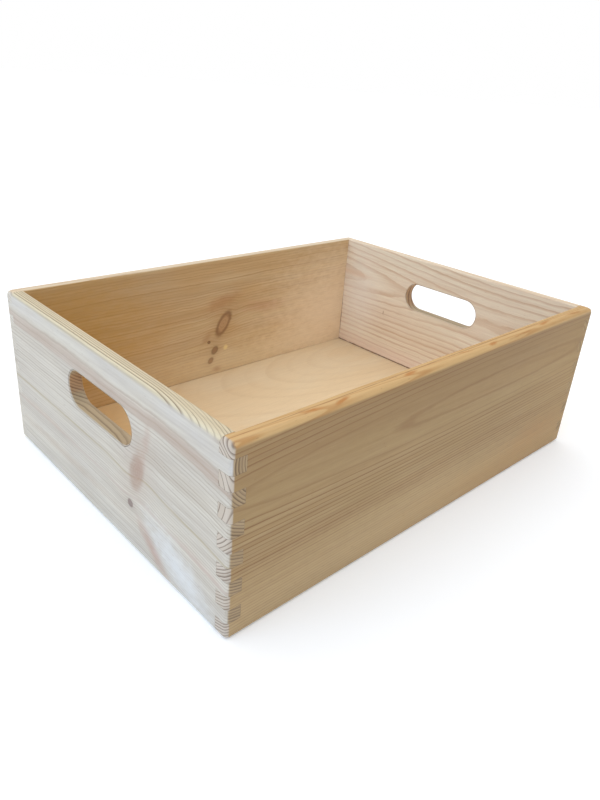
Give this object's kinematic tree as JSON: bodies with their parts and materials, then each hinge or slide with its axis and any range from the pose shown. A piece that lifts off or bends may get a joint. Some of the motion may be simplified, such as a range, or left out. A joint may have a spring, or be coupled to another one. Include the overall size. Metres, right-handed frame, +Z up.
{
  "type": "wooden apple crate",
  "caption": "Open rectangular pine crate with finger-jointed corners, a hand slot in each end board and a thin plywood floor held in a groove, for carrying apples.",
  "frame": {"origin": "middle of the crate's footprint, on the surface it stands on", "axes": "+X along the length towards the right end board, +Y across the width towards the back board, +Z up out of the open top"},
  "size_m": [0.4, 0.296, 0.134],
  "materials": {
    "front_board_pine": "planed and sanded bare pine, flat-sawn figure, satin",
    "back_board_pine": "planed and sanded bare pine with a dead knot, satin",
    "left_end_board_pine": "planed and sanded bare pine with pale sapwood, satin",
    "right_end_board_pine": "planed and sanded bare pine with strong straight rings, satin",
    "floor_plywood": "sanded thin plywood, satin"
  },
  "bodies": {
    "root": {"front_board": "front_board_pine", "back_board": "back_board_pine", "left_end_board": "left_end_board_pine", "right_end_board": "right_end_board_pine", "bottom_panel": "floor_plywood"}
  },
  "joints": []
}
